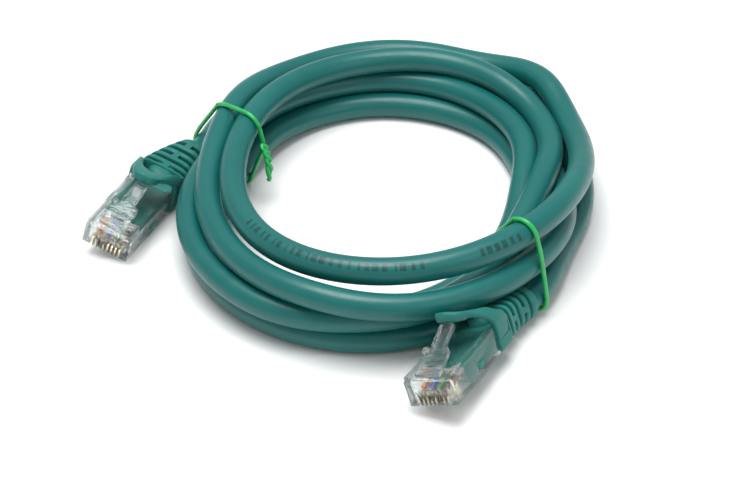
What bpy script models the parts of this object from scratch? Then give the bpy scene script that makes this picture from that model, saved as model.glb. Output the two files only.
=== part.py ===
"""Ethernet patch cable: a round cable wound into a flat hank of five and a half laps, held by
two plastic-coated wire ties, with an eight-contact modular plug and a snagless boot on each end.

Metres, +Z up. The cable and both plugs lie on the plane z = 0, and the origin is the middle of
the two plugs' footprint on that plane. Inside this file lengths are in millimetres until a point
goes into a mesh.

Plug frame: x across the plug, y from its nose back along the cable, z up through its latch side,
with the zero at the middle of the nose's lower edge.
"""

import math

import bmesh
import bpy
import numpy as np
from mathutils import Matrix, Vector

MM = 0.001

# Cable and its hank
CABLE_D = 6.2
LAY_PITCH = 6.25          # between the middles of two laps that touch
COIL_CENTRE = (19.444, 27.447)
# The hank's inside is an oval: its mean radius, how far it is drawn out, the bearing it is longest
# on, and how far its middle is off the hank's centre
INSIDE, OVAL, OVAL_AT, OVAL_OFF = 38.75, 4.5, 75.0, (-2.5, 2.3)
HALF_WIDTH, HALF_LAYER = 3.1, 2.7
# How each lap is laid, clockwise seen from above, at 10, 12, 2, 4, 6 and 8 o'clock: so many half
# cable widths out from the inside, and so many half layers up from the table.
LAPS = (
    # Leaves plug A low and outside, dips under the rest at 2 o'clock, climbs on to the heap
    ((5, 1), (6, 0), (2, 0), (4, 3), (4, 4), (2, 4)),
    # Wide over the back, then crosses in to be the top lap at the front
    ((2, 4), (4, 3), (4, 3), (4, 6), (2, 6), (0, 5)),
    # The inner lap at the left and back, sliding out and down at the front
    ((0, 5), (1, 4), (2, 3), (1, 3), (3, 2), (3.5, 2)),
    # Second layer over the back, then down on to the table on the inside
    ((2, 2), (1, 2), (0, 2), (0, 1), (0, 0), (1, 0)),
    # Flat on the table, widest at the front
    ((1, 0), (0, 0), (0, 0), (2, 0), (3, 0), (3, 0)),
    # The last half lap, on the table, over to plug B
    ((3, 0), (3, 0), (3.5, 1), (4, 0)),
)
STATION = 2.5             # spacing of the settled cable's points
COIL_SECTIONS = 72
COIL_SIDES = 12
LEAD = 8.0                # length of the free stretch behind each boot

# Wire ties
TIE_D = 1.1
TIE_AT = (140.0, -46.0)   # bearing of each tie from the hank's centre, degrees
TIE_LIFT = 1.5            # how far the tie under them lifts the laps off the table
TIE_GAP = 0.3
TIE_TAIL = 9.0

# Modular plug
PLUG_W, PLUG_L, PLUG_H = 11.68, 21.46, 6.6
WALL_X, WALL_FLOOR, WALL_ROOF, WALL_NOSE = 1.04, 1.1, 1.3, 1.6
CONTACTS = 8
CONTACT_PITCH = 1.016
SLOT_W, SLOT_L, SLOT_H = 0.65, 5.2, 2.2
BLADE_T = 0.35
WIRE_D = 0.95
WIRE_ROWS = (2.5, 3.75)   # heights of the two staggered rows of conductors
LATCH_HINGE = (1.2, 6.85)
LATCH_L, LATCH_T = 14.0, 0.9
HOOD_HINGE = (25.5, 6.5)
HOOD_T = 1.4
BOOT_FRONT, BOOT_BODY_END, BOOT_END = 21.76, 27.0, 40.2
BOOT_TOP = 8.1            # of the body, above the plug's lower face
COLLAR_D = 8.6
FIT = 0.3                 # between a piece and the one it sits against

# Each plug's place: nose position x, y, turn about z, nose-up tilt, roll, rest angle of its latch,
# and how far the end of its boot is bent sideways and down
PLUGS = {
    "a": dict(at=(-47.426, 10.777), yaw=-22.0, pitch=-2.0, roll=16.5, latch=17.0, bend=(2.3, 1.6)),
    "b": dict(at=(28.454, -46.053), yaw=-28.1, pitch=-5.0, roll=-22.5, latch=20.0, bend=(2.8, -0.5)),
}
REST_HEIGHT = {"a": 2.407, "b": 4.283}  # of each nose, with the plug's lowest edge on the table

TEAL = (0.010, 0.145, 0.125)
PAIRS = (
    ("white_orange", (0.80, 0.55, 0.36)), ("orange", (0.75, 0.22, 0.03)),
    ("white_green", (0.62, 0.78, 0.62)), ("blue", (0.03, 0.12, 0.50)),
    ("white_blue", (0.55, 0.66, 0.82)), ("green", (0.03, 0.32, 0.10)),
    ("white_brown", (0.66, 0.55, 0.45)), ("brown", (0.16, 0.07, 0.03)),
)


def material(name, colour, roughness, metallic=0.0, alpha=1.0):
    made = bpy.data.materials.new(name)
    made.use_nodes = True
    shader = made.node_tree.nodes["Principled BSDF"]
    shader.inputs["Base Color"].default_value = (*colour, 1.0)
    shader.inputs["Roughness"].default_value = roughness
    shader.inputs["Metallic"].default_value = metallic
    shader.inputs["Alpha"].default_value = alpha
    made.diffuse_color = (*colour, alpha)
    return made


def place(obj, parent, skin):
    bpy.context.scene.collection.objects.link(obj)
    obj.parent = parent
    if skin:
        obj.data.materials.append(skin)
    return obj


def solid(name, points, faces, parent=None, skin=None, smooth=False):
    """An object from points in millimetres, its faces turned outward."""
    mesh = bpy.data.meshes.new(name)
    mesh.from_pydata([tuple(c * MM for c in p) for p in points], [], faces)
    work = bmesh.new()
    work.from_mesh(mesh)
    bmesh.ops.recalc_face_normals(work, faces=work.faces)
    work.to_mesh(mesh)
    work.free()
    if smooth:
        mesh.shade_smooth()
    return place(bpy.data.objects.new(name, mesh), parent, skin)


def box_shape(x, y, z):
    points = [(a, b, c) for a in x for b in y for c in z]
    faces = [(0, 1, 3, 2), (4, 6, 7, 5), (0, 4, 5, 1), (2, 3, 7, 6), (0, 2, 6, 4), (1, 5, 7, 3)]
    return points, faces


def box(name, x, y, z, parent=None, skin=None):
    return solid(name, *box_shape(x, y, z), parent, skin)


def loft(name, rings, parent=None, skin=None, closed=False, smooth=True):
    """Joins rings of equal point count; open ends are capped, a closed row joins up instead."""
    sides, count = len(rings[0]), len(rings)
    points = [p for ring in rings for p in ring]
    faces = []
    for i in range(count if closed else count - 1):
        a, b = i * sides, (i + 1) % count * sides
        faces += [(a + k, a + (k + 1) % sides, b + (k + 1) % sides, b + k) for k in range(sides)]
    if not closed:
        faces += [tuple(range(sides)), tuple(range((count - 1) * sides, count * sides))]
    return solid(name, points, faces, parent, skin, smooth)


def prism(name, outline, x, parent=None, skin=None):
    """A side outline of (y, z) points carried across from x[0] to x[1]."""
    return loft(name, [[(a, y, z) for y, z in outline] for a in x], parent, skin, smooth=False)


def tube(name, path, diameter, skin, cyclic=False, sides_step=3, parent=None):
    curve = bpy.data.curves.new(name, "CURVE")
    curve.dimensions = "3D"
    curve.bevel_depth = diameter / 2 * MM
    curve.bevel_resolution = sides_step
    curve.use_fill_caps = True
    curve.resolution_u = 1
    line = curve.splines.new("POLY")
    line.points.add(len(path) - 1)
    for point, at in zip(line.points, path):
        point.co = (*(c * MM for c in at), 1.0)
    line.use_cyclic_u = cyclic
    return place(bpy.data.objects.new(name, curve), parent, skin)


def helper(obj):
    obj.hide_render = True
    obj.display_type = "WIRE"
    return obj


def boolean(obj, other, operation="DIFFERENCE"):
    step = obj.modifiers.new(operation.title() + str(len(obj.modifiers)), "BOOLEAN")
    step.operation = operation
    step.solver = "EXACT"
    step.object = helper(other)


# The cable's lay -------------------------------------------------------------------------------


def blend(p0, p1, p2, p3, t):
    return 0.5 * (2 * p1 + (p2 - p0) * t + (2 * p0 - 5 * p1 + 4 * p2 - p3) * t * t + (3 * p1 - p0 - 3 * p2 + p3) * t**3)


def spline(points, steps):
    """A smooth curve through the points, with so many steps between each two."""
    v = np.asarray(points, float)
    v = np.vstack([2 * v[0] - v[1], v, 2 * v[-1] - v[-2]])
    made = [blend(*v[i - 1:i + 3], k / steps) for i in range(1, len(v) - 2) for k in range(steps)]
    return np.array(made + [v[-2]])


def even(path, step):
    """The same curve with its points spaced evenly."""
    run = np.concatenate([[0], np.cumsum(np.linalg.norm(np.diff(path, axis=0), axis=1))])
    at = np.linspace(0, run[-1], int(round(run[-1] / step)) + 1)
    return np.column_stack([np.interp(at, run, path[:, k]) for k in range(3)])


def bearing(path):
    return np.degrees(np.arctan2(path[:, 1] - COIL_CENTRE[1], path[:, 0] - COIL_CENTRE[0]))


def floor_under(path):
    """The lowest height of the cable's middle: on the table, or on a tie that passes under it."""
    height = np.full(len(path), CABLE_D / 2)
    for tie in TIE_AT:
        off = np.abs((bearing(path) - tie + 180) % 360 - 180)
        height += TIE_LIFT * np.clip(1.5 - off / 12, 0, 1)
    return height


def settle(path, rounds=160):
    """Lets the laps bear on each other and on the table a full diameter apart, bending smoothly."""
    x = path.copy()
    first, second = np.triu_indices(len(x), 6)
    for n in range(rounds):
        if n % 8 == 0:
            near = np.linalg.norm(x[first] - x[second], axis=1) < LAY_PITCH + 2
            i, j = first[near], second[near]
        sag = np.zeros_like(x)
        sag[1:-1] = (x[:-2] + x[2:]) / 2 - x[1:-1]
        x[2:-2] += 0.5 * (sag[2:-2] - (sag[1:-3] + sag[3:-1]) / 2)
        for _ in range(2):
            apart = x[i] - x[j]
            size = np.linalg.norm(apart, axis=1)
            push = (np.maximum(LAY_PITCH - size, 0) / np.maximum(size, 1e-6))[:, None] * apart * 0.18
            np.add.at(x, i, push)
            np.add.at(x, j, -push)
            x[:2], x[-2:] = path[:2], path[-2:]
        x[2:-2, 2] = np.maximum(x[2:-2, 2], floor_under(x)[2:-2])
    return x


def cable_route(ends):
    """The cable's middle line from boot A round the hank to boot B. Each end is (point, direction)."""
    spots = [spot for lap in LAPS for spot in lap]
    laps = []
    for a, out, up in spline([(150 - 60 * k, *spot) for k, spot in enumerate(spots)], 20)[10:]:
        a = math.radians(a)
        r = INSIDE + OVAL * math.cos(2 * (a - math.radians(OVAL_AT))) + HALF_WIDTH * out
        r += OVAL_OFF[0] * math.cos(a) + OVAL_OFF[1] * math.sin(a)
        laps.append((COIL_CENTRE[0] + r * math.cos(a), COIL_CENTRE[1] + r * math.sin(a),
                     CABLE_D / 2 + HALF_LAYER * max(up, 0)))
    (start, away), (finish, back) = [(np.array(p), np.array(d)) for p, d in ends]
    head = spline([start, start + 6 * away, laps[0], laps[5]], 6)[:-6]
    tail = spline([laps[-6], laps[-1], finish + 6 * back, finish], 6)[7:]
    return settle(even(np.vstack([head, laps, tail]), STATION))


def crossings(route, angle):
    """(distance out, height) of each strand where it passes a bearing from the hank's centre."""
    off = np.radians(bearing(route) - angle)
    off = (off + np.pi) % (2 * np.pi) - np.pi
    out = np.hypot(route[:, 0] - COIL_CENTRE[0], route[:, 1] - COIL_CENTRE[1])
    found = []
    for k in range(len(route) - 1):
        a, b = off[k], off[k + 1]
        if a * b <= 0 and abs(a - b) < 1:
            t = a / (a - b) if a != b else 0
            found.append((out[k] * (1 - t) + out[k + 1] * t, route[k, 2] * (1 - t) + route[k + 1, 2] * t))
    return found


def band_round(strands, sides, grow):
    """The outline of a band drawn round strands in a cross-section, as (out, height) corners."""
    turns = [math.radians(-90 + 360 * k / sides) for k in range(sides)]
    reach = [max(r * math.cos(t) + z * math.sin(t) for r, z in strands) + CABLE_D / 2 + grow for t in turns]
    corners = []
    for k in range(sides):
        a, b, p, q = turns[k], turns[(k + 1) % sides], reach[k], reach[(k + 1) % sides]
        det = math.sin(b - a)
        corners.append(((p * math.sin(b) - q * math.sin(a)) / det, (q * math.cos(a) - p * math.cos(b)) / det))
    return corners


def from_centre(angle, out, height, aside=0.0):
    c, s = math.cos(math.radians(angle)), math.sin(math.radians(angle))
    return (COIL_CENTRE[0] + out * c - aside * s, COIL_CENTRE[1] + out * s + aside * c, height)


def make_coil(route, skin):
    """One closed ring with the hank's outer shape, section by section."""
    free = int(LEAD / STATION) + 1
    laps = route[free:-free]
    rings = []
    for k in range(COIL_SECTIONS):
        angle = 360 * k / COIL_SECTIONS
        rings.append([from_centre(angle, r, z) for r, z in band_round(crossings(laps, angle), COIL_SIDES, 0)])
    return loft("cable_coil", rings, skin=skin, closed=True)


def make_tie(name, route, angle, skin):
    """A wire once round the hank, its two ends twisted together inside the ring."""
    reach = TIE_GAP + TIE_D / 2
    band = []
    for k, (out, height) in enumerate(band_round(crossings(route, angle), COIL_SIDES, 0)):
        for part in (0.2, 0.8):
            facing = math.radians(-90 + 360 * (k + part) / COIL_SIDES)
            band.append((out + reach * math.cos(facing), height + reach * math.sin(facing)))
    turns = len(band)
    inside = min(range(turns), key=lambda k: band[k][0] + 0.35 * abs(band[k][1] - 8))
    path = []
    for k in range(turns):
        out, height = band[(inside + k) % turns]
        path.append(from_centre(angle, out, max(height, TIE_D / 2), 1.1 * (0.5 - k / (turns - 1))))
    knot_out, knot_z = band[inside]
    side = 0.72
    ends = []
    for sign in (1, -1):
        strand = []
        for k in range(1, 9):
            t = k / 8
            turn = math.pi * 2.0 * t
            strand.append(from_centre(
                angle,
                knot_out - 1.3 - TIE_TAIL * 0.45 * t - sign * side * math.sin(turn) * 0.5,
                max(knot_z - TIE_TAIL * 0.75 * t - 0.4 * sign * math.sin(turn), TIE_D / 2),
                sign * side * math.cos(turn),
            ))
        ends.append(strand)
    return tube(name, ends[0][::-1] + path[1:-1] + ends[1], TIE_D, skin, sides_step=1)


# One plug --------------------------------------------------------------------------------------


# Half of the hood's band, from its left foot to the middle of its tongue: front and rear edge
HOOD_FRONT = ((-6.3, 22.4, 3.2), (-6.4, 22.3, 5.4), (-6.4, 21.9, 7.4), (-6.0, 21.0, 9.2), (-5.1, 19.4, 10.9),
              (-4.2, 17.4, 12.4), (-3.5, 15.4, 13.6), (-2.2, 14.0, 14.3), (0.0, 13.5, 14.7))
HOOD_REAR = ((-6.3, 26.2, 3.4), (-6.35, 26.7, 5.4), (-6.3, 26.9, 7.2), (-6.0, 26.6, 8.7), (-5.4, 25.4, 9.9),
             (-4.5, 23.3, 11.0), (-3.4, 21.2, 11.8), (-1.9, 19.5, 12.4), (0.0, 18.8, 12.6))


def make_hood(name, hub, skin):
    """An arch over the latch: two legs down the boot's sides, joined by a tongue that leans forward."""
    pivot = Vector((0, *HOOD_HINGE))
    half = len(HOOD_FRONT) - 1
    rings = []
    for k in range(2 * half + 1):
        n, side = (k, 1) if k <= half else (2 * half - k, -1)
        front, rear = Vector(HOOD_FRONT[n]), Vector(HOOD_REAR[n])
        lower, upper = (front + rear) / 2, (front + rear) / 2
        lower = (Vector(HOOD_FRONT[max(n - 1, 0)]) + Vector(HOOD_REAR[max(n - 1, 0)])) / 2
        upper = Vector((0, *lower.yz)) if n == half else (Vector(HOOD_FRONT[n + 1]) + Vector(HOOD_REAR[n + 1])) / 2
        along = Vector((1, 0, 0)) if n == half else (upper - lower).normalized()
        inward = along.cross(rear - front).normalized()
        inward = -inward if inward.z > 0 or (n == 0 and inward.x < 0) else inward
        if n < 2:
            inward = Vector((1, 0, 0))
        ring = [front, rear, rear + inward * HOOD_T, front + inward * HOOD_T]
        rings.append([(side * p.x, p.y - pivot.y, p.z - pivot.z) for p in ring])
    return loft(name, rings, hub, skin)


def boot_section(y, bend):
    """Half width, half height and middle of the boot's section, and how square it is."""
    if y < BOOT_BODY_END:
        wide, low, high, square = 6.3, 0.0, 5.6, 7.0
    else:
        t = (y - BOOT_BODY_END) / (BOOT_END - BOOT_BODY_END)
        wide = 6.3 + (COLLAR_D / 2 - 6.3) * t
        low, high = (3.3 - COLLAR_D / 2) * t, BOOT_TOP + (3.3 + COLLAR_D / 2 - BOOT_TOP) * t
        square = 5.0 - 3.0 * t
    t = max(0.0, (y - BOOT_BODY_END) / (BOOT_END - BOOT_BODY_END))
    return wide, (high - low) / 2, (bend[0] * t * t, (high + low) / 2 + bend[1] * t * t), square


def boot_ring(y, bend, sides, grow=0.0, bridge=None):
    """One section of the boot, grown by so much; a bridge keeps its full size near top and bottom."""
    wide, tall, middle, square = boot_section(y, bend)
    ring = []
    for k in range(sides):
        a = 2 * math.pi * (k + 0.5) / sides
        c, s = math.cos(a), math.sin(a)
        more = 0.0 if bridge is not None and abs(c) < bridge else grow
        ring.append((
            middle[0] + (wide + more) * math.copysign(abs(c) ** (2 / square), c), y,
            middle[1] + (tall + more) * math.copysign(abs(s) ** (2 / square), s),
        ))
    return ring


def boot_rings(bend, sides=24):
    """The strain relief's grooves run right round, or stop short of a bridge at top and bottom."""
    around, split = 1, 2
    stops = [(BOOT_FRONT, 0), (BOOT_BODY_END - 0.1, 0), (BOOT_BODY_END, 0)]
    y = BOOT_BODY_END + 0.7
    for kind in (around, split, around, split, around):
        stops += [(y, 0), (y + 0.15, kind), (y + 1.0, kind), (y + 1.15, 0)]
        y += 2.35
    stops.append((BOOT_END, 0))
    rings = []
    for y, groove in stops:
        rings.append(boot_ring(y, bend, sides, -1.0 if groove else 0.0, 0.35 if groove == split else None))
    return rings


def make_plug(tag, spec, skins):
    base = bpy.data.objects.new(f"plug_{tag}_place", None)
    bpy.context.scene.collection.objects.link(base)
    base.rotation_mode = "YXZ"
    base.rotation_euler = [math.radians(spec[k]) for k in ("pitch", "roll", "yaw")]
    base.location = (spec["at"][0] * MM, spec["at"][1] * MM, REST_HEIGHT[tag] * MM)

    half = PLUG_W / 2
    housing = box(f"plug_{tag}_housing", (-half, half), (0, PLUG_L), (0, PLUG_H), base, skins["clear"])
    inner = half - WALL_X
    roof = PLUG_H - WALL_ROOF
    cuts = [
        box_shape((-inner, inner), (WALL_NOSE, PLUG_L + 1), (WALL_FLOOR, roof)),
        box_shape((-4.2, 4.2), (-1, PLUG_L + 1), (6.0, 8)),
        box_shape((-half - 1, half + 1), (-1, 0.6), (5.8, 8)),
        box_shape((-half - 1, half + 1), (11.5, 14.5), (WALL_FLOOR + 0.15, 3.4)),
    ]
    slots_p, slots_f = [], []
    for k in range(CONTACTS):
        x = (k - (CONTACTS - 1) / 2) * CONTACT_PITCH
        p, f = box_shape((x - SLOT_W / 2, x + SLOT_W / 2), (-1, SLOT_L), (-1, SLOT_H))
        slots_f += [tuple(i + len(slots_p) for i in face) for face in f]
        slots_p += p
    for n, (p, f) in enumerate([*cuts, (slots_p, slots_f)]):
        boolean(housing, solid(f"cut_{tag}_{n}", p, f, base))

    for k in range(CONTACTS):
        x = (k - (CONTACTS - 1) / 2) * CONTACT_PITCH
        row = k % 2
        top = WIRE_ROWS[row] - WIRE_D / 2 - FIT
        low = SLOT_H - 0.5
        outline = [(0.45, 0.35), (4.7, 0.35), (4.7, min(top, low))]
        if top > low:
            outline += [(4.2, low), (4.2, top), (2.0, top), (2.0, low)]
        outline += [(0.45, min(top, low))]
        prism(f"plug_{tag}_contact_{k + 1}", outline, (x - BLADE_T / 2, x + BLADE_T / 2), base, skins["gold"])
        rings = [
            [(x + WIRE_D / 2 * math.cos(a), y, WIRE_ROWS[row] + WIRE_D / 2 * math.sin(a))
             for a in (2 * math.pi * (n + 0.5) / 8 for n in range(8))]
            for y in (WALL_NOSE + 0.4, 7.4)
        ]
        loft(f"plug_{tag}_wire_{k + 1}", rings, base, skins["wires"][k])
    box(f"plug_{tag}_load_bar", (-inner + FIT, inner - FIT), (4.6, 7.2),
        (WIRE_ROWS[1] + WIRE_D / 2 + FIT, roof - 0.25), base, skins["bar"])

    # The latch turns about the line where it joins the nose
    hinge = bpy.data.objects.new(f"plug_{tag}_latch_hinge", None)
    bpy.context.scene.collection.objects.link(hinge)
    hinge.parent = base
    hinge.location = (0, LATCH_HINGE[0] * MM, LATCH_HINGE[1] * MM)
    hinge.rotation_euler = (math.radians(spec["latch"]), 0, 0)
    plan = [(-3.1, -0.35), (-3.1, 6.4), (-2.2, 6.9), (-1.65, 7.6), (-1.65, LATCH_L)]
    plan += [(-x, y) for x, y in reversed(plan)]
    latch = loft(f"plug_{tag}_latch", [[(x, y, z) for x, y in plan] for z in (-LATCH_T / 2, LATCH_T / 2)],
                 hinge, skins["clear"], smooth=False)
    boolean(latch, box(f"cut_{tag}_latch", (-1.7, 1.7), (1.7, 2.7), (-2, 2), hinge))

    # The boot: a filled core inside the plug, a body behind it and a grooved strain relief
    boot = loft(f"boot_{tag}", boot_rings(spec["bend"]), base, skins["teal"])
    core = box(f"cut_{tag}_core", (-inner + FIT, inner - FIT), (7.7, 25.0), (WALL_FLOOR + FIT, roof - FIT), base)
    boolean(boot, core, "UNION")
    tabs = box(f"cut_{tag}_tabs", (-half, half), (11.8, 14.2), (WALL_FLOOR + 0.45, 3.1), base)
    boolean(boot, tabs, "UNION")
    hump = [[(3.3 * math.cos(a), BOOT_BODY_END + 0.3 + 3.3 * math.sin(a), z) for a in (2 * math.pi * n / 20 for n in range(20))]
            for z in (4.8, BOOT_TOP - 0.3)]
    boolean(boot, loft(f"cut_{tag}_hump", hump, base), "UNION")
    for side in (-1, 1):
        boolean(boot, box(f"cut_{tag}_leg_{'left' if side < 0 else 'right'}", sorted((side * 4.55, side * 8)), (21.0, BOOT_BODY_END + 0.15),
                          (2.4, 9.5), base))

    hub = bpy.data.objects.new(f"boot_{tag}_hood_hinge", None)
    bpy.context.scene.collection.objects.link(hub)
    hub.parent = base
    hub.location = (0, HOOD_HINGE[0] * MM, HOOD_HINGE[1] * MM)
    make_hood(f"boot_{tag}_hood", hub, skins["teal"])

    turn = (Matrix.Rotation(math.radians(spec["yaw"]), 3, "Z") @ Matrix.Rotation(math.radians(spec["pitch"]), 3, "X")
            @ Matrix.Rotation(math.radians(spec["roll"]), 3, "Y"))
    bend = spec["bend"]
    leave = Vector((bend[0], BOOT_END, 3.3 + bend[1]))
    away = Vector((bend[0] / 10, 1, 0.0)).normalized()
    nose = Vector((*spec["at"], REST_HEIGHT[tag]))
    return tuple(nose + turn @ leave), tuple(turn @ away), base


def main():
    for obj in list(bpy.data.objects):
        bpy.data.objects.remove(obj, do_unlink=True)
    skins = dict(
        clear=material("clear_polycarbonate", (0.86, 0.90, 0.90), 0.08, alpha=0.35),
        gold=material("gold_plate", (0.83, 0.62, 0.24), 0.22, 1.0),
        bar=material("wire_bar", (0.80, 0.82, 0.80), 0.3),
        teal=material("boot_teal", TEAL, 0.42),
        wires=[material(f"conductor_{name}", rgb, 0.45) for name, rgb in PAIRS],
    )
    jacket = material("cable_jacket", TEAL, 0.38)
    tie = material("tie_plastic", (0.03, 0.45, 0.12), 0.35)
    made = {tag: make_plug(tag, spec, skins) for tag, spec in PLUGS.items()}
    route = cable_route([made[tag][:2] for tag in ("a", "b")])
    coil = make_coil(route, jacket)
    free = int(LEAD / STATION)
    for tag, stretch in (("a", route[:free + 1]), ("b", route[::-1][:free + 1])):
        away = Vector(made[tag][1])
        slant = abs(PLUGS[tag]["bend"][0]) / 10  # of the cable to the boot's end face
        lead = [np.array(Vector(stretch[0]) + away * reach) for reach in (FIT + CABLE_D / 2 * slant, STATION)]
        lead += list(stretch[2:])
        tube(f"cable_lead_{tag}", lead, CABLE_D, jacket, sides_step=3)
        # Room in the hank's solid for the free stretch and for the boot it comes from
        past = Vector(stretch[-1] - stretch[-2]).normalized()
        room = [np.array(Vector(stretch[0]) - away * 3), *stretch[1:], np.array(Vector(stretch[-1]) + past * FIT)]
        rings = []
        for k, at in enumerate(room):
            ahead = Vector(room[min(k + 1, len(room) - 1)] - room[max(k - 1, 0)]).normalized()
            side = ahead.cross(Vector((0, 0, 1))).normalized()
            up = side.cross(ahead)
            rings.append([tuple(Vector(at) + (side * math.cos(a) + up * math.sin(a)) * (CABLE_D / 2 + 0.45))
                          for a in (2 * math.pi * n / 12 for n in range(12))])
        boolean(coil, loft(f"cut_{tag}_lead_room", rings))
        grown = [boot_ring(y, PLUGS[tag]["bend"], 24, 0.5)
                 for y in np.linspace(BOOT_BODY_END, BOOT_END, 8)]
        grown.insert(0, [(x, 19.0, z) for x, y, z in grown[0]])
        grown.append([(x, y + 0.4, z) for x, y, z in grown[-1]])
        boolean(coil, loft(f"cut_{tag}_boot_room", grown, made[tag][2]))
        boolean(coil, box(f"cut_{tag}_hood_room", (-7.0, 7.0), (11.5, 27.5), (2.0, 15.3), made[tag][2]))
    for name, angle in zip(("tie_left", "tie_right"), TIE_AT):
        make_tie(name, route, angle, tie)


main()
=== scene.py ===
"""Ethernet patch cable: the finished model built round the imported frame.

Metres, +Z up. Lengths inside this file are in millimetres until a point goes into a mesh.
Plug frame: x across the plug, y from its nose back along the cable, z up through its latch side.
"""

import math

import bmesh
import bpy
import numpy as np
from mathutils import Matrix, Vector


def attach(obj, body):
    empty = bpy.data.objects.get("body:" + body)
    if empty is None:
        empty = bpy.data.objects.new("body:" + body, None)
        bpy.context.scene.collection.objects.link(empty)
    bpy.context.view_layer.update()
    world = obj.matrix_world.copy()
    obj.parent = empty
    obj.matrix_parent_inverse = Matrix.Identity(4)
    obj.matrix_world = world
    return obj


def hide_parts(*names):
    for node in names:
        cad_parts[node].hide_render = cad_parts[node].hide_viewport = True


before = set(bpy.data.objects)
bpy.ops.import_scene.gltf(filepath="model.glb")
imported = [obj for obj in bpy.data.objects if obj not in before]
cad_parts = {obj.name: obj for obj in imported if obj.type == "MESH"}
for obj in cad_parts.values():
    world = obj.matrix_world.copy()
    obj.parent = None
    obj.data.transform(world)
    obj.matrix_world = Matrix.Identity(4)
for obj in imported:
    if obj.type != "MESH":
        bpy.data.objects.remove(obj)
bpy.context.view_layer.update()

MM = 0.001

# Cable and its hank
CABLE_D = 6.2
LAY_PITCH = 6.25
COIL_CENTRE = (19.444, 27.447)
# The hank's inside is an oval: its mean radius, how far it is drawn out, the bearing it is longest
# on, and how far its middle is off the hank's centre
INSIDE, OVAL, OVAL_AT, OVAL_OFF = 38.75, 4.5, 75.0, (-2.5, 2.3)
HALF_WIDTH, HALF_LAYER = 3.1, 2.7
# How each lap is laid, clockwise seen from above, at 10, 12, 2, 4, 6 and 8 o'clock: so many half
# cable widths out from the inside, and so many half layers up from the table.
LAPS = (
    # Leaves plug A low and outside, dips under the rest at 2 o'clock, climbs on to the heap
    ((5, 1), (6, 0), (2, 0), (4, 3), (4, 4), (2, 4)),
    # Wide over the back, then crosses in to be the top lap at the front
    ((2, 4), (4, 3), (4, 3), (4, 6), (2, 6), (0, 5)),
    # The inner lap at the left and back, sliding out and down at the front
    ((0, 5), (1, 4), (2, 3), (1, 3), (3, 2), (3.5, 2)),
    # Second layer over the back, then down on to the table on the inside
    ((2, 2), (1, 2), (0, 2), (0, 1), (0, 0), (1, 0)),
    # Flat on the table, widest at the front
    ((1, 0), (0, 0), (0, 0), (2, 0), (3, 0), (3, 0)),
    # The last half lap, on the table, over to plug B
    ((3, 0), (3, 0), (3.5, 1), (4, 0)),
)
STATION = 2.5
TIE_AT = (140.0, -46.0)   # where a tie lifts the laps off the table
TIE_LIFT = 1.5
TIE_D = 1.1
# Each tie's upright plane: a point in it, and the bearing it runs out on
TIE_LOOPS = {"tie_left": ((-20.6, 46.6), 137.0), "tie_right": ((47.0, -4.6), -40.0)}
TIE_TAIL = 9.0

# Modular plug
PLUG_W, PLUG_L, PLUG_H = 11.68, 21.46, 6.6
WALL_X, WALL_FLOOR, WALL_ROOF, WALL_NOSE = 1.04, 1.1, 1.3, 1.6
CONTACTS = 8
CONTACT_PITCH = 1.016
SLOT_W, SLOT_L, SLOT_H = 0.65, 5.2, 2.2
WIRE_D = 0.95
WIRE_ROWS = (2.5, 3.75)
LATCH_HINGE = (1.2, 6.85)
LATCH_L, LATCH_T = 14.0, 0.9
HOOD_T = 1.4
BOOT_FRONT, BOOT_BODY_END, BOOT_END = 21.76, 27.0, 40.2
BOOT_TOP = 8.1
COLLAR_D = 8.6
FIT = 0.3
PLUGS = {
    "a": dict(at=(-47.426, 10.777), yaw=-22.0, pitch=-2.0, roll=16.5, latch=17.0, bend=(2.3, 1.6)),
    "b": dict(at=(28.454, -46.053), yaw=-28.1, pitch=-5.0, roll=-22.5, latch=20.0, bend=(2.8, -0.5)),
}
REST_HEIGHT = {"a": 2.407, "b": 4.283}
HOOD_FRONT = ((-6.3, 22.4, 3.2), (-6.4, 22.3, 5.4), (-6.4, 21.9, 7.4), (-6.0, 21.0, 9.2), (-5.1, 19.4, 10.9),
              (-4.2, 17.4, 12.4), (-3.5, 15.4, 13.6), (-2.2, 14.0, 14.3), (0.0, 13.5, 14.7))
HOOD_REAR = ((-6.3, 26.2, 3.4), (-6.35, 26.7, 5.4), (-6.3, 26.9, 7.2), (-6.0, 26.6, 8.7), (-5.4, 25.4, 9.9),
             (-4.5, 23.3, 11.0), (-3.4, 21.2, 11.8), (-1.9, 19.5, 12.4), (0.0, 18.8, 12.6))
PAIRS = (
    ("white_orange", (0.80, 0.22, 0.03)), ("orange", (0.75, 0.17, 0.02)),
    ("white_green", (0.03, 0.36, 0.10)), ("blue", (0.02, 0.09, 0.55)),
    ("white_blue", (0.03, 0.12, 0.60)), ("green", (0.02, 0.30, 0.08)),
    ("white_brown", (0.22, 0.09, 0.03)), ("brown", (0.16, 0.06, 0.02)),
)


# Camera -----------------------------------------------------------------------------------------

view = bpy.data.objects.new("view", bpy.data.cameras.new("view"))
bpy.context.scene.collection.objects.link(view)
view.location = (0.015864, -0.377303, 0.29504)
view.rotation_euler = (math.radians(53), 0, 0)
view.data.lens = 100
view.data.sensor_width = 36
view.data.clip_start = 0.01
bpy.context.scene.camera = view


# Materials --------------------------------------------------------------------------------------


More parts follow.
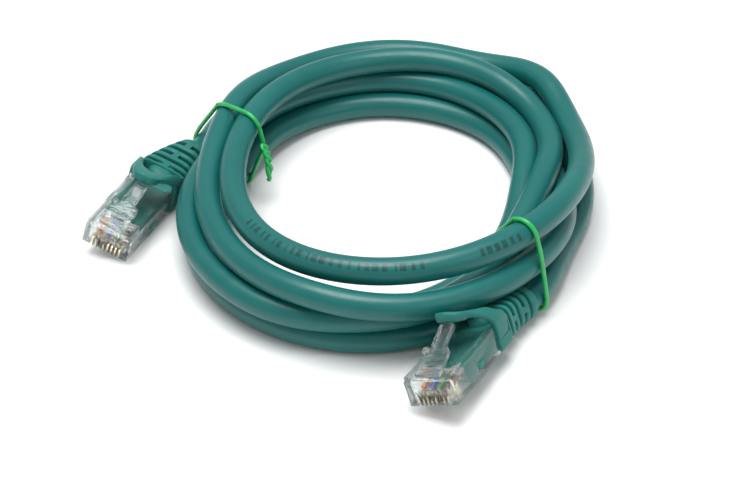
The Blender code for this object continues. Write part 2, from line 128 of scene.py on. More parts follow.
class Finish:
    """A material under construction: its shader, and short ways to add nodes to it."""

    def __init__(self, name, **sockets):
        self.made = bpy.data.materials.new(name)
        self.made.use_nodes = True
        self.tree = self.made.node_tree
        self.shader = self.tree.nodes["Principled BSDF"]
        self.place = self.node("ShaderNodeTexCoord").outputs["Object"]
        for key, value in sockets.items():
            self.shader.inputs[key.replace("_", " ")].default_value = value

    def node(self, kind, **props):
        made = self.tree.nodes.new(kind)
        for key, value in props.items():
            setattr(made, key, value)
        return made

    def put(self, socket, value):
        if hasattr(value, "is_linked"):
            self.tree.links.new(value, socket)
        else:
            socket.default_value = value

    def noise(self, scale, detail=3.0, where=None):
        made = self.node("ShaderNodeTexNoise")
        made.inputs["Scale"].default_value = scale
        made.inputs["Detail"].default_value = detail
        self.put(made.inputs["Vector"], self.place if where is None else where)
        return made.outputs["Fac"]

    def math(self, operation, a, b=0.0):
        made = self.node("ShaderNodeMath", operation=operation)
        self.put(made.inputs[0], a)
        self.put(made.inputs[1], b)
        return made.outputs[0]

    def ranged(self, value, low, high, start=0.3, end=0.7):
        made = self.node("ShaderNodeMapRange")
        for key, given in (("Value", value), ("From Min", start), ("From Max", end), ("To Min", low), ("To Max", high)):
            self.put(made.inputs[key], given)
        return made.outputs[0]

    def mixed(self, factor, one, two):
        made = self.node("ShaderNodeMix", data_type="RGBA")
        self.put(made.inputs[0], factor)
        for socket, value in ((made.inputs[6], one), (made.inputs[7], two)):
            self.put(socket, (*value, 1.0) if isinstance(value, tuple) else value)
        return made.outputs[2]

    def joined(self, x, y, z):
        made = self.node("ShaderNodeCombineXYZ")
        for socket, value in zip(made.inputs, (x, y, z)):
            self.put(socket, value)
        return made.outputs[0]

    def bump(self, height, depth, strength=1.0, under=None):
        made = self.node("ShaderNodeBump")
        made.inputs["Distance"].default_value = depth * MM
        made.inputs["Strength"].default_value = strength
        self.put(made.inputs["Height"], height)
        if under is not None:
            self.put(made.inputs["Normal"], under)
        return made.outputs["Normal"]

    def done(self, colour=None, roughness=None, normal=None):
        for key, value in (("Base Color", colour), ("Roughness", roughness), ("Normal", normal)):
            if value is not None:
                self.put(self.shader.inputs[key], value)
        return self.made


def jacket_finish(print_run, print_turn):
    """Extruded PVC: faint draw lines along it, a satin skin, and one run of plain printed ticks."""
    f = Finish("jacket_pvc", Sheen_Weight=0.08, Sheen_Roughness=0.3, Sheen_Tint=(0.5, 0.78, 0.80, 1.0), IOR=1.47, Specular_IOR_Level=0.5)
    lay = f.node("ShaderNodeAttribute", attribute_name="lay")
    parts = f.node("ShaderNodeSeparateXYZ")
    f.put(parts.inputs[0], lay.outputs["Vector"])
    run, turn = parts.outputs[0], parts.outputs[1]
    lines = f.noise(1.0, 4.0, f.joined(f.math("MULTIPLY", run, 30.0), f.math("MULTIPLY", f.math("COSINE", turn), 9.0),
                                       f.math("MULTIPLY", f.math("SINE", turn), 9.0)))
    broad, fine = f.noise(38.0, 4.0), f.noise(2200.0, 2.0)
    colour = f.mixed(f.ranged(broad, 0.0, 1.0), (0.0026, 0.110, 0.103), (0.0046, 0.137, 0.127))
    colour = f.mixed(f.ranged(lines, 0.0, 0.35), colour, (0.008, 0.158, 0.146))
    # Printed ticks: a row of bars of uneven width, with gaps between groups, slowly turning round the cable
    step = f.math("MULTIPLY", run, 1000.0 / 1.9)
    cell = f.math("FLOOR", step)
    chance = f.node("ShaderNodeTexWhiteNoise", noise_dimensions="1D")
    f.put(chance.inputs["W"], cell)
    group = f.node("ShaderNodeTexWhiteNoise", noise_dimensions="1D")
    f.put(group.inputs["W"], f.math("FLOOR", f.math("MULTIPLY", cell, 1 / 6.0)))
    bar = f.math("LESS_THAN", f.math("FRACT", step), f.ranged(chance.outputs["Value"], 0.22, 0.72, 0.0, 1.0))
    word = f.math("GREATER_THAN", group.outputs["Value"], 0.3)
    centre = f.math("MULTIPLY_ADD", run, 2 * math.pi / 0.9)
    centre.node.inputs[2].default_value = print_turn - print_run * 2 * math.pi / 0.9
    off = f.math("WRAP", f.math("SUBTRACT", turn, centre), math.pi)
    off.node.inputs[2].default_value = -math.pi
    tall = f.math("LESS_THAN", f.math("ABSOLUTE", off), 0.29)
    legend = f.math("LESS_THAN", f.math("ABSOLUTE", f.math("SUBTRACT", run, print_run + 0.020)), 0.040)
    mark = f.math("MULTIPLY", f.math("MULTIPLY", bar, word), f.math("MULTIPLY", tall, legend))
    worn = f.ranged(f.noise(900.0, 3.0), 0.6, 0.95)
    colour = f.mixed(f.math("MULTIPLY", mark, worn), colour, (0.0035, 0.045, 0.043))
    skin = f.bump(fine, 0.02, 0.35, f.bump(lines, 0.05, 0.35, f.bump(f.noise(160.0, 2.0), 0.12, 0.3)))
    return f.done(colour, f.ranged(f.noise(300.0, 3.0), 0.30, 0.41), skin)


def boot_finish():
    """Moulded soft thermoplastic: a fine spark-eroded grain, and a painted highlight along its sharp convex edges."""
    f = Finish("boot_rubber", Sheen_Weight=0.10, Sheen_Roughness=0.5, Sheen_Tint=(0.6, 0.85, 0.8, 1.0), IOR=1.45)
    grain = f.noise(3600.0, 3.0)
    speck = f.node("ShaderNodeTexVoronoi")
    speck.inputs["Scale"].default_value = 2400.0
    f.put(speck.inputs["Vector"], f.place)
    colour = f.mixed(f.ranged(f.noise(120.0, 4.0), 0.0, 1.0), (0.0035, 0.138, 0.118), (0.0065, 0.168, 0.143))
    colour = f.mixed(f.ranged(grain, 0.0, 0.35, 0.5, 0.75), colour, (0.014, 0.225, 0.19))
    # Painted highlight: the colour is made paler wherever the surface is most convex, along sharp outer edges
    edge = f.node("ShaderNodeNewGeometry").outputs["Pointiness"]
    colour = f.mixed(f.ranged(edge, 0.0, 0.4, 0.52, 0.62), colour, (0.030, 0.28, 0.23))
    skin = f.bump(speck.outputs["Distance"], 0.03, 0.35, f.bump(grain, 0.04, 0.5, f.bump(f.noise(500.0), 0.05, 0.2)))
    return f.done(colour, f.ranged(f.noise(700.0), 0.46, 0.62), skin)


def clear_finish(name, tint, haze, weight, clarity=1.0):
    """Injection-moulded polycarbonate: flow ripples, fine haze and handling scuffs."""
    f = Finish(name, IOR=1.45, Specular_IOR_Level=0.4, Transmission_Weight=weight, Alpha=clarity)
    ripple = f.noise(260.0, 2.0)
    scuff = f.noise(1500.0, 5.0)
    colour = f.mixed(f.ranged(f.noise(90.0), 0.0, 1.0), tint, tuple(c * 0.965 for c in tint))
    return f.done(colour, f.ranged(scuff, *haze, 0.45, 0.8), f.bump(scuff, 0.003, 0.2, f.bump(ripple, 0.012, 0.2)))


def metal_finish(name, one, two, rough):
    f = Finish(name, Metallic=1.0)
    brushed = f.noise(700.0, 4.0)
    colour = f.mixed(f.ranged(f.noise(900.0, 3.0), 0.0, 1.0), one, two)
    return f.done(colour, f.ranged(brushed, *rough), f.bump(brushed, 0.01, 0.35))


def insulation_finish(name, rgb, banded):
    """Solid or banded insulation of one conductor."""
    f = Finish("insulation_" + name, IOR=1.5)
    shade = f.mixed(f.ranged(f.noise(800.0), 0.0, 1.0), rgb, tuple(min(1.0, c * 1.25 + 0.01) for c in rgb))
    if banded:
        dot = f.node("ShaderNodeVectorMath", operation="DOT_PRODUCT")
        f.put(dot.inputs[0], f.place)
        dot.inputs[1].default_value = (0.42, 0.907, 0.25)
        stripe = f.math("FRACT", f.math("MULTIPLY", dot.outputs["Value"], 620.0))
        shade = f.mixed(f.math("LESS_THAN", stripe, 0.38), (0.78, 0.78, 0.74), shade)
    return f.done(shade, f.ranged(f.noise(1200.0), 0.32, 0.5), f.bump(f.noise(1800.0), 0.01, 0.4))


def tie_finish():
    f = Finish("tie_coating", Coat_Weight=0.25, Coat_Roughness=0.2, IOR=1.5)
    colour = f.mixed(f.ranged(f.noise(300.0, 4.0), 0.0, 1.0), (0.006, 0.36, 0.075), (0.015, 0.47, 0.11))
    return f.done(colour, f.ranged(f.noise(900.0), 0.28, 0.42), f.bump(f.noise(1400.0), 0.03, 0.4))


CLEAR = clear_finish("clear_polycarbonate", (0.94, 0.988, 0.978), (0.01, 0.06), 0.985, 0.8)
BAR = clear_finish("load_bar_plastic", (0.88, 0.91, 0.88), (0.22, 0.4), 0.65)
GOLD = metal_finish("contact_gold_plate", (0.80, 0.63, 0.40), (0.92, 0.77, 0.55), (0.2, 0.36))
COPPER = metal_finish("conductor_copper", (0.86, 0.46, 0.28), (0.95, 0.60, 0.42), (0.22, 0.4))
BOOT = boot_finish()
TIE = tie_finish()
WIRES = [insulation_finish(name, rgb, name.startswith("white")) for name, rgb in PAIRS]


# Meshes -----------------------------------------------------------------------------------------


def solid(name, points, faces):
    mesh = bpy.data.meshes.new(name)
    mesh.from_pydata([tuple(float(c) * MM for c in p) for p in points], [], faces)
    work = bmesh.new()
    work.from_mesh(mesh)
    bmesh.ops.recalc_face_normals(work, faces=work.faces)
    work.to_mesh(mesh)
    work.free()
    obj = bpy.data.objects.new(name, mesh)
    bpy.context.scene.collection.objects.link(obj)
    return obj


def shade(obj, degrees=35.0):
    """Smooth shading, broken at edges sharper than this."""
    work = bmesh.new()
    work.from_mesh(obj.data)
    for face in work.faces:
        face.smooth = True
    for edge in work.edges:
        edge.smooth = len(edge.link_faces) == 2 and edge.calc_face_angle(0.0) < math.radians(degrees)
    work.to_mesh(obj.data)
    work.free()
    return obj


def round_edges(obj, radius, segments=2, degrees=30.0):
    work = bmesh.new()
    work.from_mesh(obj.data)
    edges = [e for e in work.edges if len(e.link_faces) == 2 and e.calc_face_angle(0.0) > math.radians(degrees)]
    bmesh.ops.bevel(work, geom=edges, offset=radius * MM, segments=segments, profile=0.5, affect="EDGES", clamp_overlap=True)
    bmesh.ops.recalc_face_normals(work, faces=work.faces)
    work.to_mesh(obj.data)
    work.free()
    return obj


def block(name, x, y, z, radius=0.0, segments=2):
    points = [(a, b, c) for a in x for b in y for c in z]
    faces = [(0, 1, 3, 2), (4, 6, 7, 5), (0, 4, 5, 1), (2, 3, 7, 6), (0, 2, 6, 4), (1, 5, 7, 3)]
    obj = solid(name, points, faces)
    return round_edges(obj, radius, segments) if radius else obj


def loft(name, rings, caps=True):
    sides, count = len(rings[0]), len(rings)
    points = [p for ring in rings for p in ring]
    faces = []
    for i in range(count - 1):
        a, b = i * sides, (i + 1) * sides
        faces += [(a + k, a + (k + 1) % sides, b + (k + 1) % sides, b + k) for k in range(sides)]
    if caps:
        faces += [tuple(range(sides)), tuple(range((count - 1) * sides, count * sides))]
    return solid(name, points, faces)


def baked(obj):
    """The object's mesh with its modifiers applied."""
    bpy.context.view_layer.update()
    ready = obj.evaluated_get(bpy.context.evaluated_depsgraph_get())
    mesh = bpy.data.meshes.new_from_object(ready)
    obj.modifiers.clear()
    obj.data = mesh
    return obj


def combine(obj, others, operation):
    for other in others:
        step = obj.modifiers.new("Shape", "BOOLEAN")
        step.operation = operation
        step.solver = "EXACT"
        step.object = other
    baked(obj)
    for other in others:
        bpy.data.objects.remove(other, do_unlink=True)
    return obj


def eased(obj, width, segments=2, degrees=35.0):
    step = obj.modifiers.new("Edges", "BEVEL")
    step.width = width * MM
    step.segments = segments
    step.limit_method = "ANGLE"
    step.angle_limit = math.radians(degrees)
    step.use_clamp_overlap = True
    return baked(obj)


def finished(obj, skins, body, nodes, place=None):
    if place is not None:
        obj.data.transform(place)
    obj.data.materials.clear()
    for skin in skins:
        obj.data.materials.append(skin)
    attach(obj, body)
    if nodes:
        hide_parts(*nodes)
    return obj


# The cable's lay --------------------------------------------------------------------------------


def blend(p0, p1, p2, p3, t):
    return 0.5 * (2 * p1 + (p2 - p0) * t + (2 * p0 - 5 * p1 + 4 * p2 - p3) * t * t + (3 * p1 - p0 - 3 * p2 + p3) * t**3)


def spline(points, steps):
    """A smooth curve through the points, with so many steps between each two."""
    v = np.asarray(points, float)
    v = np.vstack([2 * v[0] - v[1], v, 2 * v[-1] - v[-2]])
    made = [blend(*v[i - 1:i + 3], k / steps) for i in range(1, len(v) - 2) for k in range(steps)]
    return np.array(made + [v[-2]])


def even(path, step):
    run = np.concatenate([[0], np.cumsum(np.linalg.norm(np.diff(path, axis=0), axis=1))])
    at = np.linspace(0, run[-1], int(round(run[-1] / step)) + 1)
    return np.column_stack([np.interp(at, run, path[:, k]) for k in range(3)])


def bearing(path):
    return np.degrees(np.arctan2(path[:, 1] - COIL_CENTRE[1], path[:, 0] - COIL_CENTRE[0]))


def floor_under(path):
    height = np.full(len(path), CABLE_D / 2)
    for tie in TIE_AT:
        off = np.abs((bearing(path) - tie + 180) % 360 - 180)
        height += TIE_LIFT * np.clip(1.5 - off / 12, 0, 1)
    return height


def settle(path, rounds=160):
    """Lets the laps bear on each other and on the table a full diameter apart, bending smoothly."""
    x = path.copy()
    first, second = np.triu_indices(len(x), 6)
    for n in range(rounds):
        if n % 8 == 0:
            near = np.linalg.norm(x[first] - x[second], axis=1) < LAY_PITCH + 2
            i, j = first[near], second[near]
        sag = np.zeros_like(x)
        sag[1:-1] = (x[:-2] + x[2:]) / 2 - x[1:-1]
        x[2:-2] += 0.5 * (sag[2:-2] - (sag[1:-3] + sag[3:-1]) / 2)
        for _ in range(2):
            apart = x[i] - x[j]
            size = np.linalg.norm(apart, axis=1)
            push = (np.maximum(LAY_PITCH - size, 0) / np.maximum(size, 1e-6))[:, None] * apart * 0.18
            np.add.at(x, i, push)
            np.add.at(x, j, -push)
            x[:2], x[-2:] = path[:2], path[-2:]
        x[2:-2, 2] = np.maximum(x[2:-2, 2], floor_under(x)[2:-2])
    return x


def cable_route(ends):
    """The cable's middle line from boot A round the hank to boot B. Each end is (point, direction)."""
    spots = [spot for lap in LAPS for spot in lap]
    laps = []
    for a, out, up in spline([(150 - 60 * k, *spot) for k, spot in enumerate(spots)], 20)[10:]:
        a = math.radians(a)
        r = INSIDE + OVAL * math.cos(2 * (a - math.radians(OVAL_AT))) + HALF_WIDTH * out
        r += OVAL_OFF[0] * math.cos(a) + OVAL_OFF[1] * math.sin(a)
        laps.append((COIL_CENTRE[0] + r * math.cos(a), COIL_CENTRE[1] + r * math.sin(a),
                     CABLE_D / 2 + HALF_LAYER * max(up, 0)))
    (start, away), (finish, back) = [(np.array(p), np.array(d)) for p, d in ends]
    head = spline([start, start + 6 * away, laps[0], laps[5]], 6)[:-6]
    tail = spline([laps[-6], laps[-1], finish + 6 * back, finish], 6)[7:]
    return settle(even(np.vstack([head, laps, tail]), STATION))


def pipe(name, path, diameter, sides, lay=False):
    """A round tube along a path; each point keeps how far along and how far round it is."""
    path = np.asarray(path, float)
    ahead = np.gradient(path, axis=0)
    ahead /= np.linalg.norm(ahead, axis=1)[:, None]
    if lay:
        side = np.cross(ahead, (0, 0, 1.0))
        side /= np.linalg.norm(side, axis=1)[:, None]
    else:
        side = np.zeros_like(path)
        side[0] = np.cross(ahead[0], (0.31, 0.42, 0.85))
        side[0] /= np.linalg.norm(side[0])
        for k in range(1, len(path)):
            s = side[k - 1] - ahead[k] * np.dot(side[k - 1], ahead[k])
            side[k] = s / np.linalg.norm(s)
    up = np.cross(side, ahead)
    turns = [-math.pi + 2 * math.pi * (n + 0.5) / sides for n in range(sides)]
    rings = [[path[k] + diameter / 2 * (side[k] * math.sin(t) + up[k] * math.cos(t)) for t in turns]
             for k in range(len(path))]
    obj = loft(name, rings)
    if lay:
        run = np.concatenate([[0], np.cumsum(np.linalg.norm(np.diff(path, axis=0), axis=1))]) * MM
        values = np.zeros((len(path), sides, 3), np.float32)
        values[:, :, 0] = run[:, None]
        values[:, :, 1] = np.array(turns)[None, :]
        obj.data.attributes.new("lay", "FLOAT_VECTOR", "POINT").data.foreach_set("vector", values.ravel())
    return shade(obj, 60.0)


PLACES, ENDS = {}, {}
for tag, spec in PLUGS.items():
    turn = (Matrix.Rotation(math.radians(spec["yaw"]), 3, "Z") @ Matrix.Rotation(math.radians(spec["pitch"]), 3, "X")
            @ Matrix.Rotation(math.radians(spec["roll"]), 3, "Y"))
    nose = Vector((*spec["at"], REST_HEIGHT[tag]))
    PLACES[tag] = Matrix.Translation(nose * MM) @ turn.to_4x4()
    leave = Vector((spec["bend"][0], BOOT_END, 3.3 + spec["bend"][1]))
    away = Vector((spec["bend"][0] / 10, 1, 0.0)).normalized()
    ENDS[tag] = tuple(nose + turn @ leave), tuple(turn @ away)

route = cable_route([ENDS["a"], ENDS["b"]])
line = even(spline(route, 4), 1.3)
line = np.vstack([np.array(ENDS["a"][0]) - 1.5 * np.array(ENDS["a"][1]), line,
                  np.array(ENDS["b"][0]) - 1.5 * np.array(ENDS["b"][1])])
run = np.concatenate([[0], np.cumsum(np.linalg.norm(np.diff(line, axis=0), axis=1))])
front = max((k for k in range(len(line)) if -76 < bearing(line[k:k + 1])[0] < -70), key=lambda k: line[k, 2])
JACKET = jacket_finish(run[front] * MM, -0.75)
cable = pipe("patch_cable", line, CABLE_D, 28, lay=True)
finished(cable, [JACKET], "root", ["cable_coil", "cable_lead_a", "cable_lead_b"])


def strands_in(route, point, angle):
    """(distance out, height, half width) of each strand where it passes an upright plane."""
    out = np.array((math.cos(math.radians(angle)), math.sin(math.radians(angle))))
    off = (route[:, :2] - point) @ np.array((-out[1], out[0]))
    along = (route[:, :2] - point) @ out
    found = []
    for k in range(len(route) - 1):
        if off[k] * off[k + 1] <= 0 and abs(along[k]) < 30:
            t = off[k] / (off[k] - off[k + 1])
            slant = abs(off[k + 1] - off[k]) / np.linalg.norm(route[k + 1] - route[k])
            here = route[k] * (1 - t) + route[k + 1] * t
            found.append((along[k] * (1 - t) + along[k + 1] * t, here[2], CABLE_D / 2 / max(slant, 0.5)))
    return found


def band_over(strands, sides, grow):
    """The outline of a band drawn tight round strands in a cross-section, as (out, height) corners."""
    turns = [math.radians(-90 + 360 * k / sides) for k in range(sides)]
    reach = [max(r * math.cos(t) + z * math.sin(t) + math.hypot(w * math.cos(t), CABLE_D / 2 * math.sin(t)) for r, z, w in strands)
             + grow for t in turns]
    corners = []
    for k in range(sides):
        a, b, p, q = turns[k], turns[(k + 1) % sides], reach[k], reach[(k + 1) % sides]
        det = math.sin(b - a)
        corners.append(((p * math.sin(b) - q * math.sin(a)) / det, (q * math.cos(a) - p * math.cos(b)) / det))
    return corners


def tie_wire(name, point, angle):
    """A wire once round the hank, its two ends twisted together inside the ring."""
    c, s = math.cos(math.radians(angle)), math.sin(math.radians(angle))

    def placed(out, height, aside=0.0):
        return (point[0] + out * c - aside * s, point[1] + out * s + aside * c, height)

    band = band_over(strands_in(line, np.array(point), angle), 60, TIE_D / 2 + 0.05)
    turns = len(band)
    inside = min(range(turns), key=lambda k: band[k][0] + 0.35 * abs(band[k][1] - 8))
    path = []
    for k in range(turns):
        out, height = band[(inside + k) % turns]
        path.append(placed(out, max(height, TIE_D / 2), 1.1 * (0.5 - k / (turns - 1))))
    knot_out, knot_z = band[inside]
    ends = []
    for sign in (1, -1):
        strand = []
        for k in range(1, 37):
            t = k / 36
            turn = math.pi * 5.0 * t
            grip = 0.58
            strand.append(placed(
                knot_out - 1.2 - TIE_TAIL * 0.42 * math.sin(1.4 * t) - sign * grip * math.sin(turn) * 0.6,
                max(knot_z - TIE_TAIL * 0.72 * t * t - 1.2 * t - 0.3 * sign * math.sin(turn), TIE_D / 2),
                sign * grip * math.cos(turn) + 1.5 * t * t + sign * 0.7 * max(0.0, t - 0.8) * 5,
            ))
        ends.append(strand)
    full = even(spline(ends[0][::-1][::3] + path[1:-1] + ends[1][::3], 4), 0.45)
    full[:, 2] = np.maximum(full[:, 2], TIE_D / 2 + 0.01)
    tie = pipe(name + "_wire", full, TIE_D, 14)
    return finished(tie, [TIE], "root", [name])


ties = [tie_wire(name, *spec) for name, spec in TIE_LOOPS.items()]


# Plugs ------------------------------------------------------------------------------------------


def boot_section(y, bend):
    if y < BOOT_BODY_END:
        wide, low, high, square = 6.3, 0.0, 5.6, 7.0
    else:
        t = (y - BOOT_BODY_END) / (BOOT_END - BOOT_BODY_END)
        wide = 6.3 + (COLLAR_D / 2 - 6.3) * t
        low, high = (3.3 - COLLAR_D / 2) * t, BOOT_TOP + (3.3 + COLLAR_D / 2 - BOOT_TOP) * t
        square = 5.0 - 3.0 * t
    t = max(0.0, (y - BOOT_BODY_END) / (BOOT_END - BOOT_BODY_END))
    return wide, (high - low) / 2, (bend[0] * t * t, (high + low) / 2 + bend[1] * t * t), square


def boot_ring(y, bend, sides, grow=0.0, bridge=None):
    """An evenly spaced section of the boot; a bridge, over the top and bottom or at the sides, keeps its full size."""
    wide, tall, middle, square = boot_section(y, bend)
    a = 2 * np.pi * (np.arange(720) + 0.5) / 720
    c, s = np.cos(a), np.sin(a)
    x = np.sign(c) * np.abs(c) ** (2 / square)
    z = np.sign(s) * np.abs(s) ** (2 / square)
    edge = np.column_stack([x * wide, z * tall])
    gaps = np.linalg.norm(np.roll(edge, -1, axis=0) - edge, axis=1)
    at = np.concatenate([[0], np.cumsum(gaps)])
    want = at[-1] * np.arange(sides) / sides
    x, z = np.interp(want, at, np.append(x, x[0])), np.interp(want, at, np.append(z, z[0]))
    held = np.abs(x * wide) < 0.95 if bridge == "top" else np.abs(z * tall) < 0.9 if bridge == "side" else np.zeros(sides, bool)
    more = np.where(held, 0.0, grow)
    return [(middle[0] + p * (wide + m), y, middle[1] + q * (tall + m)) for p, q, m in zip(x, z, more)]


def make_boot(tag, bend, sides=112):
    """Body, grooved strain relief with a lip round the cable, and the core that fills the plug."""
    full = None
    stops = [(BOOT_FRONT, -0.4, full), (BOOT_FRONT + 0.12, -0.15, full), (BOOT_FRONT + 0.4, 0, full),
             (BOOT_BODY_END - 0.1, 0, full), (BOOT_BODY_END, -0.25, full), (BOOT_BODY_END + 0.2, 0, full)]
    y = BOOT_BODY_END + 0.7
    for kind, deep in (("top", 1.5), ("side", 1.45), ("top", 1.35), ("side", 1.2), ("top", 1.0)):
        stops += [(y - 0.1, 0, full), (y + 0.02, -0.1, kind), (y + 0.1, -0.4, kind), (y + 0.14, -deep, kind),
                  (y + 1.06, -deep, kind), (y + 1.1, -0.4, kind), (y + 1.18, -0.1, kind), (y + 1.3, 0, full)]
        y += 2.35
    stops += [(BOOT_END - 0.35, 0, full), (BOOT_END - 0.1, -0.12, full), (BOOT_END, -0.35, full),
              (BOOT_END, -0.95, full), (BOOT_END - 0.9, -1.1, full)]
    boot = loft(f"boot_{tag}_moulding", [boot_ring(y, bend, sides, grow, kind) for y, grow, kind in stops])
    inner = PLUG_W / 2 - WALL_X
    roof = PLUG_H - WALL_ROOF
    core = block("core", (-inner - 0.03, inner + 0.03), (7.2, 25.0), (WALL_FLOOR - 0.03, roof + 0.03), 0.2, 3)
    tabs = block("tabs", (-PLUG_W / 2 - 0.1, PLUG_W / 2 + 0.1), (11.8, 14.2), (WALL_FLOOR + 0.45, 3.1), 0.3, 3)
    hump = [[(r * math.cos(a), BOOT_BODY_END + 0.3 + r * math.sin(a), z) for a in (2 * math.pi * n / 48 for n in range(48))]
            for z, r in ((4.8, 3.7), (6.3, 3.4), (6.9, 3.1), (7.35, 2.6), (7.6, 2.0), (7.75, 1.2))]
    combine(boot, [core, tabs, loft("hump", hump)], "UNION")
    legs = [block("leg", sorted((side * 4.85, side * 8)), (21.0, BOOT_BODY_END - 0.15), (3.15, 9.5)) for side in (-1, 1)]
    combine(boot, legs, "DIFFERENCE")
    shade(boot, 38.0)
    return finished(boot, [BOOT], "root", [f"boot_{tag}"], PLACES[tag])


def make_hood(tag):
    """An arched visor over the latch, thick and round-edged, its legs running down the boot's sides."""
    near, far = spline(HOOD_FRONT, 6), spline(HOOD_REAR, 6)
    near = np.vstack([near, (near[:-1] * (-1, 1, 1))[::-1]])
    far = np.vstack([far, (far[:-1] * (-1, 1, 1))[::-1]])
    feet = np.minimum(np.arange(len(near)), np.arange(len(near))[::-1])
    # The corners of the opening behind the arch are rounded off
    far[:, 1] -= 0.9 * np.exp(-((feet - 23) / 5.0) ** 2)
    near[:, 1] -= 0.6 * np.clip(1 - feet / 14, 0, 1)      # flush with the boot's front face
    far[:, 1] += 0.32 * np.clip(1 - (feet - 12) / 8, 0, 1)  # and let into the strain relief behind
    middle = (near + far) / 2
    along = np.gradient(middle, axis=0)
    rings = []
    heart = np.array((0.0, 24.0, 5.0))
    inward = np.cross(along, far - near)
    inward /= np.linalg.norm(inward, axis=1)[:, None]
    for k in range(len(inward)):
        if np.dot(inward[k], heart - middle[k]) < 0:
            inward[k] = -inward[k]
    for _ in range(4):
        inward[1:-1] = (inward[:-2] + 2 * inward[1:-1] + inward[2:]) / 4
    inward /= np.linalg.norm(inward, axis=1)[:, None]
    for k in range(len(middle)):
        foot = min(k, len(middle) - 1 - k)
        corner = 0.2 + 0.42 * min(1.0, foot / 18)
        tongue = max(0.0, 1 - (middle[k][0] / 4.8) ** 2)
        across = far[k] - near[k]
        width = np.linalg.norm(across)
        across /= width
        ring = []
        for cx, cz, start in ((1, 1, 0), (-1, 1, 90), (-1, -1, 180), (1, -1, 270)):
            for step in range(5):
                a = math.radians(start + 22.5 * step)
                u = cx * (width / 2 - corner) + corner * math.cos(a)
                v = cz * (HOOD_T / 2 - corner) + corner * math.sin(a)
                crown = 0.6 * tongue * math.exp(-((u + width / 2 - 0.6) / 1.1) ** 2) - 0.25 * tongue if cz < 0 else 0.0
                under = 0.6 * tongue * math.exp(-((u + width / 2 - 1.0) / 1.9) ** 2) if cz > 0 else 0.0
                ring.append(middle[k] + across * u + inward[k] * (HOOD_T / 2 + v - crown + under))
        rings.append(ring)
    hood = shade(loft(f"boot_{tag}_visor", rings), 50.0)
    return finished(hood, [BOOT], f"hood_{tag}", [f"boot_{tag}_hood"], PLACES[tag])


def make_housing(tag):
    """Clear shell: nose with comb and legs, latch channel between two rails, windows and key recesses."""
    half = PLUG_W / 2
    inner, roof = half - WALL_X, PLUG_H - WALL_ROOF
    shell = block(f"plug_{tag}_shell", (-half, half), (0, PLUG_L), (0, PLUG_H))
    cuts = [
        block("cavity", (-inner, inner), (WALL_NOSE, PLUG_L + 1), (WALL_FLOOR, roof)),
        block("channel", (-4.2, 4.2), (-1, PLUG_L + 1), (6.0, 8)),
        block("nose_step", (-half - 1, half + 1), (-1, 0.6), (5.8, 8)),
        block("window", (-half - 1, half + 1), (11.5, 14.5), (WALL_FLOOR + 0.15, 3.4)),
        block("bar_window", (-3.3, 3.3), (4.4, 7.3), (roof - 0.2, 7)),
        block("under_window", (-3.4, 3.4), (9.2, 15.6), (-1, 0.55)),
    ]
    for side in (-1, 1):
        cuts += [
            block("rail_notch", sorted((side * 4.1, side * 5.2)), (5.6, 6.7), (6.25, 8)),
            block("rail_notch", sorted((side * 4.1, side * 5.2)), (13.2, 14.1), (6.25, 8)),
            block("nose_pocket", sorted((side * 4.45, side * 5.3)), (-1, 0.5), (0.9, 4.6)),
        ]
    for k in range(CONTACTS):
        x = (k - (CONTACTS - 1) / 2) * CONTACT_PITCH
        cuts.append(block("slot", (x - SLOT_W / 2, x + SLOT_W / 2), (-1, SLOT_L), (-1, SLOT_H)))
        if k < CONTACTS:
            cuts.append(block("tooth_step", (x - SLOT_W / 2 - 0.02, x + SLOT_W / 2 + 0.02), (-1, 0.35), (-1, 3.1)))
    combine(shell, cuts, "DIFFERENCE")
    eased(shell, 0.09, 2, 40.0)
    shade(shell, 30.0)
    return finished(shell, [CLEAR], "root", [f"plug_{tag}_housing"], PLACES[tag])


def make_latch(tag, angle):
    """Wide root with a cross slot and raised ears, then a narrow arm with a rib along each edge."""
    plan = [(-3.1, -0.35), (-3.1, 6.1), (-3.0, 6.5), (-2.7, 6.75), (-2.3, 6.85), (-1.95, 7.05), (-1.72, 7.4), (-1.65, 7.9),
            (-1.65, 13.4), (-1.45, 13.85), (-1.1, LATCH_L)]
    plan += [(-x, y) for x, y in reversed(plan)]
    low, high = -LATCH_T / 2, LATCH_T / 2
    arm = loft(f"plug_{tag}_lever", [[(x, y, z) for x, y in plan] for z in (low, high)])
    extra = [block("rib", sorted((side * 1.2, side * 1.62)), (7.3, 13.5), (high - 0.2, high + 0.5), 0.1) for side in (-1, 1)]
    extra += [block("ear", sorted((side * 1.9, side * 3.08)), (5.2, 6.7), (high - 0.2, high + 0.85), 0.2, 3) for side in (-1, 1)]
    extra += [block("step", (-3.05, 3.05), (3.6, 4.2), (high - 0.2, high + 0.3), 0.1),
              block("root", (-3.05, 3.05), (-0.3, 0.8), (low - 0.12, high + 0.18), 0.15)]
    combine(arm, extra, "UNION")
    combine(arm, [block("slot", (-1.7, 1.7), (1.7, 2.7), (-2, 2)),
                  block("relief", (-1.0, 1.0), (7.9, 13.0), (high - 0.22, 2))], "DIFFERENCE")
    eased(arm, 0.08, 2, 40.0)
    shade(arm, 30.0)
    hinge = Matrix.Translation((0, LATCH_HINGE[0] * MM, LATCH_HINGE[1] * MM)) @ Matrix.Rotation(math.radians(angle), 4, "X")
    return finished(arm, [CLEAR], f"latch_{tag}", [f"plug_{tag}_latch"], PLACES[tag] @ hinge)


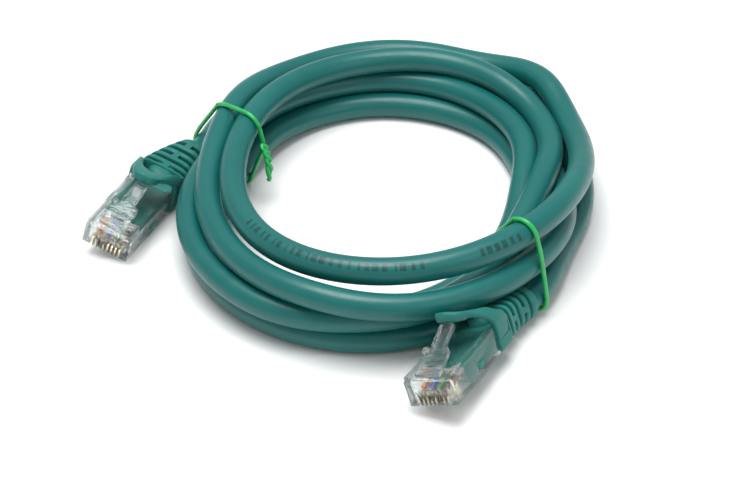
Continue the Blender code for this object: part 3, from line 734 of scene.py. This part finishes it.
def make_wire(tag, k):
    """One conductor: insulation with a rounded shoulder, and the copper showing at its cut end."""
    x = (k - (CONTACTS - 1) / 2) * CONTACT_PITCH
    z = WIRE_ROWS[k % 2]
    rings = []
    for y, r in ((2.0, 0.20), (2.0, 0.36), (2.04, 0.43), (2.12, WIRE_D / 2), (3.4, WIRE_D / 2 - 0.015), (4.6, WIRE_D / 2),
                 (6.0, WIRE_D / 2 - 0.01), (7.35, WIRE_D / 2), (7.4, 0.40)):
        rings.append([(x + r * math.cos(a), y, z + r * math.sin(a)) for a in (2 * math.pi * n / 18 for n in range(18))])
    wire = loft(f"plug_{tag}_conductor_{k + 1}", rings)
    tip = loft("tip", [[(x + r * math.cos(a), y, z + r * math.sin(a)) for a in (2 * math.pi * n / 12 for n in range(12))]
                       for y, r in ((1.80, 0.14), (1.84, 0.20), (2.25, 0.20))])
    wire.data.materials.append(WIRES[k])
    tip.data.materials.append(COPPER)
    work = bmesh.new()
    work.from_mesh(wire.data)
    start = len(work.faces)
    work.from_mesh(tip.data)
    work.faces.ensure_lookup_table()
    for face in work.faces[start:]:
        face.material_index = 1
    mesh = wire.data
    work.to_mesh(mesh)
    work.free()
    bpy.data.objects.remove(tip, do_unlink=True)
    shade(wire, 50.0)
    index = [p.material_index for p in wire.data.polygons]
    finished(wire, [WIRES[k], COPPER], "root", [f"plug_{tag}_wire_{k + 1}"], PLACES[tag])
    wire.data.polygons.foreach_set("material_index", index)
    return wire


for tag, spec in PLUGS.items():
    make_boot(tag, spec["bend"])
    make_hood(tag)
    make_housing(tag)
    make_latch(tag, spec["latch"])
    for k in range(CONTACTS):
        make_wire(tag, k)

# CAD pieces that keep their own shape
for name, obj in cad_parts.items():
    skin = GOLD if "_contact_" in name else BAR if name.endswith("load_bar") else None
    if skin is not None:
        for place in obj.material_slots:
            place.material = skin


# Floor and light --------------------------------------------------------------------------------

floor = solid("floor", [(x, y, -0.05) for x, y in ((-3000, -3000), (3000, -3000), (3000, 3000), (-3000, 3000))], [(0, 1, 2, 3)])
pale = Finish("pale_floor")
floor.data.materials.append(pale.done(pale.mixed(pale.ranged(pale.noise(12.0), 0.0, 1.0), (0.90, 0.90, 0.90), (0.92, 0.92, 0.92)), 0.75))


def soft_light(name, at, power, size, aim=(0.015, 0.01, 0.0)):
    lamp = bpy.data.lights.new(name, "AREA")
    lamp.shape = "DISK"
    lamp.size = size
    lamp.energy = power
    obj = bpy.data.objects.new(name, lamp)
    bpy.context.scene.collection.objects.link(obj)
    obj.location = at
    obj.rotation_euler = (Vector(aim) - Vector(at)).to_track_quat("-Z", "Y").to_euler()


soft_light("key", (-0.05, 0.04, 0.66), 4.9, 0.5)
soft_light("fill", (0.42, -0.30, 0.40), 0.35, 0.4)
world = bpy.data.worlds.new("studio")
world.use_nodes = True
world.node_tree.nodes["Background"].inputs["Color"].default_value = (1.0, 1.0, 1.0, 1.0)
world.node_tree.nodes["Background"].inputs["Strength"].default_value = 0.48
bpy.context.scene.world = world
bpy.context.scene.view_settings.view_transform = "Standard"
bpy.context.scene.cycles.max_bounces = 24
bpy.context.scene.cycles.transmission_bounces = 24
